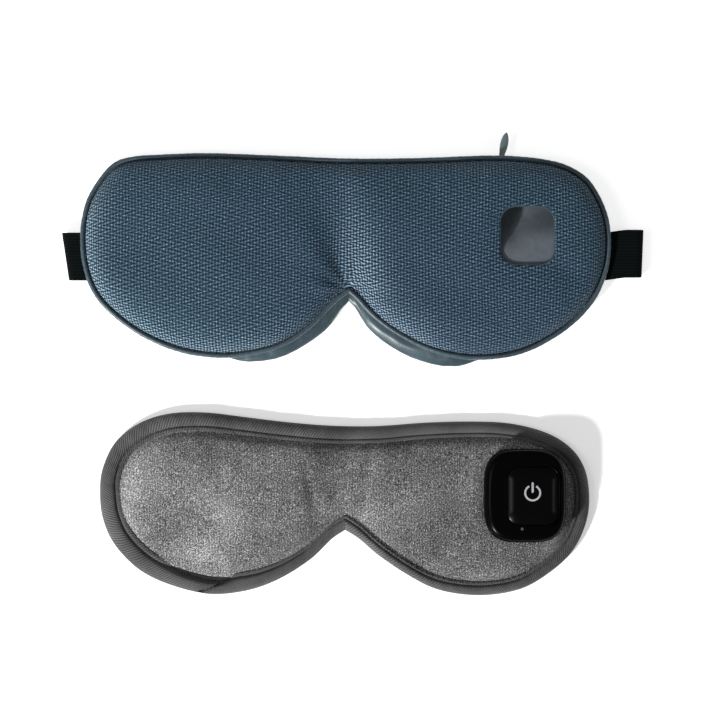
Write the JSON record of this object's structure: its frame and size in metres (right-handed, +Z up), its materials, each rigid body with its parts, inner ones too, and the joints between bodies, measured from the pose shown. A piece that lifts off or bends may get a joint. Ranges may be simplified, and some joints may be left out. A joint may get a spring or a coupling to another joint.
{
  "type": "eye massager mask",
  "caption": "Zip-up knitted eye mask cover with elastic strap and the heated vibrating pad with controller that goes inside it.",
  "frame": {"origin": "middle of the layout's outline, on the table that both pieces lie on", "axes": "+X along the mask towards the window and the power button, +Y from the pad towards its cover (the wearer's forehead side), +Z up, out of the mask's front"},
  "size_m": [0.2446, 0.1936, 0.0168],
  "materials": {
    "knit": "ribbed blue and teal knit with light flecks",
    "satin": "grey-teal satin over soft padding",
    "lining": "plain grey woven lining",
    "piping": "grey-blue satin piping",
    "zip_tape": "woven zip tape",
    "zip_teeth": "moulded zip teeth",
    "zip_metal": "grey-blue lacquered zinc",
    "elastic": "black ribbed elastic",
    "buckle": "black nylon",
    "heather": "heather grey brushed jersey",
    "backing": "dark grey plain jersey",
    "twill": "grey diagonal twill bias binding, stitched",
    "foam": "soft open-cell foam",
    "film": "amber heating film",
    "bead": "epoxy bead",
    "steel": "nickel-plated steel",
    "rotor": "dense metal weight",
    "motor_wire": "red wire insulation",
    "heater_wire": "white wire insulation",
    "case": "gloss black",
    "board": "green solder resist",
    "cell": "foil pouch",
    "switch": "moulded switch",
    "socket": "stamped steel shell",
    "led": "LED package",
    "pipe": "clear moulded light pipe",
    "key": "gloss black with a printed power symbol"
  },
  "bodies": {
    "cover": {"cover_front": "knit", "cover_back": "satin", "pocket_lining": "lining", "cover_piping": "piping", "window_binding": "piping", "zip_tape_upper": "zip_tape", "zip_tape_lower": "zip_tape", "zip_teeth_upper": "zip_teeth", "zip_teeth_lower": "zip_teeth", "zip_stops": "zip_metal", "strap_short": "elastic", "strap_long": "elastic", "strap_ring": "buckle"},
    "insert": {"pad_front": "heather", "pad_back": "backing", "edge_binding": "twill", "foam_core": "foam", "heating_film": "film", "thermistor": "bead", "motor_case_left": "steel", "motor_cover_left": "steel", "motor_shaft_left": "steel", "motor_case_right": "steel", "motor_cover_right": "steel", "motor_shaft_right": "steel", "controller_screws": "steel", "motor_leads": "motor_wire", "heater_leads": "heater_wire", "controller_base": "case", "controller_top": "case", "circuit_board": "board", "battery_cell": "cell", "tact_switch": "switch", "usb_socket": "socket", "status_led": "led", "light_pipe": "pipe"},
    "zip_slider": {"zip_slider": "zip_metal", "zip_pull_pin": "steel"},
    "zip_pull": {"zip_pull": "zip_metal"},
    "strap_adjuster": {"strap_adjuster": "buckle"},
    "motor_weight_left": {"motor_rotor_left": "rotor"},
    "motor_weight_right": {"motor_rotor_right": "rotor"},
    "power_button": {"power_button": "key", "switch_plunger": "switch"}
  },
  "joints": [
    {"name": "insert_slide", "type": "slide", "parent": "cover", "child": "insert", "axis": [0, -1, 0], "range_m": [0, 0.08]},
    {"name": "zip_slide", "type": "slide", "parent": "cover", "child": "zip_slider", "axis": [-1, 0, 0], "range_m": [0, 0.12], "deforming": ["zip_teeth_upper", "zip_teeth_lower"]},
    {"name": "zip_pull_swing", "type": "hinge", "parent": "zip_slider", "child": "zip_pull", "pos_m": [0.0625, 0.0866, 0.0044], "axis": [0, 0, 1], "range_deg": [-60, 80]},
    {"name": "strap_adjust", "type": "slide", "parent": "cover", "child": "strap_adjuster", "axis": [1, 0, 0], "range_m": [-0.038, 0.04]},
    {"name": "power_press", "type": "slide", "parent": "insert", "child": "power_button", "axis": [0, 0, -1], "range_m": [0, 0.0004], "stiffness_N_per_m": 3000},
    {"name": "motor_spin_left", "type": "hinge", "parent": "insert", "child": "motor_weight_left", "pos_m": [-0.0412, -0.059, 0.0035], "axis": [0, 0, 1], "continuous": true},
    {"name": "motor_spin_right", "type": "hinge", "parent": "insert", "child": "motor_weight_right", "pos_m": [0.0348, -0.059, 0.0035], "axis": [0, 0, 1], "continuous": true}
  ]
}
